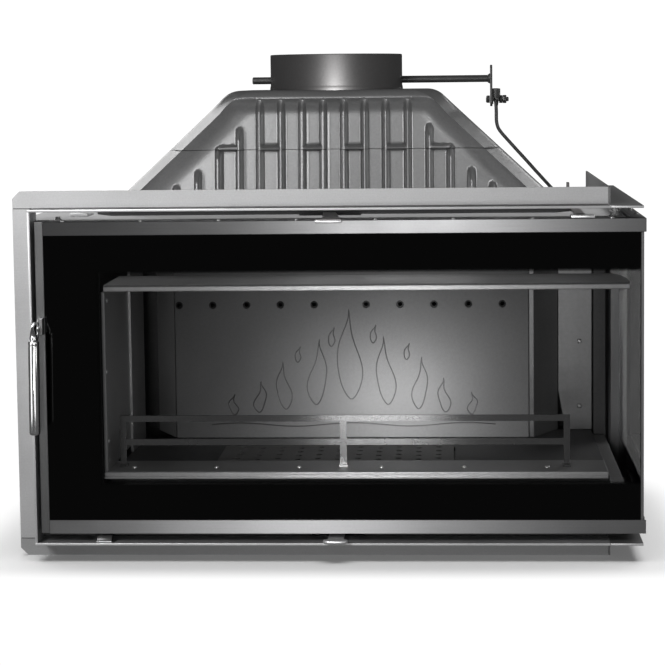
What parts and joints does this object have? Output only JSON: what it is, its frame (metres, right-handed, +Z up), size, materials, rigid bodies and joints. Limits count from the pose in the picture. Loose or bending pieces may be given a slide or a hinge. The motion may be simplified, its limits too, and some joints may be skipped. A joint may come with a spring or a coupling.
{
  "type": "fireplace insert",
  "caption": "Wide cast-iron fireplace insert with a corner-glass door hinged at the rear of its glazed side, ribbed smoke dome, flue collar with a rod-worked damper and a folded trim frame.",
  "frame": {"origin": "on the underside of the hearth base, below the middle of the object's width and depth of body", "axes": "+Z up, +X to the glazed side, -Y towards the room in front of the door"},
  "size_m": [1.002, 0.6396, 0.804],
  "materials": {
    "cast_iron": "cast, heat-proof dark paint",
    "fireback_iron": "cast, engraved, satin",
    "inner_plate": "folded plate, dark satin",
    "trim_steel": "sheet, satin",
    "zinc_steel": "zinc-plated, dull",
    "bright_steel": "polished",
    "brushed_rail": "brushed along its length",
    "ceramic_glass": "ceramic glass, black enamel border",
    "rope_seal": "glass-fibre rope"
  },
  "bodies": {
    "body": {"hearth_base": "cast_iron", "frame_footer": "cast_iron", "frame_post_left": "cast_iron", "frame_header": "cast_iron", "left_wall": "cast_iron", "rear_wall": "cast_iron", "right_wall": "cast_iron", "rear_side_panel": "cast_iron", "top_plate": "cast_iron", "firebox_floor": "cast_iron", "baffle_plate": "cast_iron", "dome_lower": "cast_iron", "dome_upper": "cast_iron", "flue_collar": "cast_iron", "fireback": "fireback_iron", "right_inner_post": "inner_plate", "sill_plate": "inner_plate", "side_sill": "inner_plate", "left_lining_front": "inner_plate", "left_lining_rear": "inner_plate", "fireback_return_left": "inner_plate", "fireback_return_right": "inner_plate", "right_lining": "inner_plate", "inner_lintel": "inner_plate", "trim_top": "trim_steel", "trim_left": "trim_steel", "trim_bottom": "trim_steel", "trim_side_top": "trim_steel", "trim_side_bottom": "trim_steel", "hinge_plate_upper": "zinc_steel", "hinge_plate_lower": "zinc_steel", "latch_keeper": "zinc_steel"},
    "door": {"door_top_rail": "brushed_rail", "door_bottom_rail": "brushed_rail", "door_side_top_rail": "brushed_rail", "door_side_bottom_rail": "brushed_rail", "door_left_stile": "brushed_rail", "door_hinge_stile": "brushed_rail", "front_glass": "ceramic_glass", "side_glass": "ceramic_glass", "seal_upper": "rope_seal", "seal_lower": "rope_seal", "seal_left": "rope_seal", "hinge_pin_upper": "zinc_steel", "hinge_pin_lower": "zinc_steel", "handle_bracket": "zinc_steel"},
    "handle": {"handle_grip": "bright_steel", "handle_arm": "bright_steel", "latch_tongue": "zinc_steel"},
    "damper": {"damper_shaft": "zinc_steel", "damper_disc": "cast_iron", "damper_lever": "zinc_steel", "crank_bolt": "bright_steel"},
    "damper_link": {"link_rod": "bright_steel"},
    "damper_grip": {"damper_control": "bright_steel"},
    "top_air": {"air_slider": "bright_steel"},
    "low_air": {"air_lever": "bright_steel"},
    "guard": {"log_guard": "inner_plate"},
    "fire_grate": {"grate": "cast_iron"},
    "ash_tray": {"ash_pan": "zinc_steel"}
  },
  "joints": [
    {"name": "door_hinge", "type": "hinge", "parent": "body", "child": "door", "pos_m": [0.488, 0.149, 0.29], "axis": [0, 0, 1], "range_deg": [0, 95]},
    {"name": "handle_lift", "type": "hinge", "parent": "door", "child": "handle", "pos_m": [-0.455, -0.299, 0.378], "axis": [-1, 0, 0], "range_deg": [0, 50]},
    {"name": "damper_turn", "type": "hinge", "parent": "body", "child": "damper", "pos_m": [0.005, 0, 0.761], "axis": [-1, 0, 0], "range_deg": [0, 60]},
    {"name": "rod_pivot", "type": "hinge", "parent": "damper", "child": "damper_link", "pos_m": [0.276, 0, 0.726], "axis": [-1, 0, 0], "range_deg": [-60, 0]},
    {"name": "damper_pull", "type": "slide", "parent": "body", "child": "damper_grip", "axis": [0, -1, 0], "range_m": [0, 0.032]},
    {"name": "top_air_slide", "type": "slide", "parent": "body", "child": "top_air", "axis": [1, 0, 0], "range_m": [-0.03, 0.03]},
    {"name": "low_air_pull", "type": "slide", "parent": "body", "child": "low_air", "axis": [0, -1, 0], "range_m": [0, 0.035]},
    {"name": "guard_lift", "type": "slide", "parent": "body", "child": "guard", "axis": [0, 0, 1], "range_m": [0, 0.12]},
    {"name": "grate_lift", "type": "slide", "parent": "body", "child": "fire_grate", "axis": [0, 0, 1], "range_m": [0, 0.15]},
    {"name": "pan_lift", "type": "slide", "parent": "body", "child": "ash_tray", "axis": [0, 0, 1], "range_m": [0, 0.09]}
  ],
  "couplings": [
    {"joint": "rod_pivot", "follows": "damper_turn", "ratio": -1},
    {"joint": "damper_pull", "follows": "damper_turn", "m_per_rad": 0.0301},
    {"joint": "pan_lift", "follows": "grate_lift", "ratio": 0.6}
  ]
}
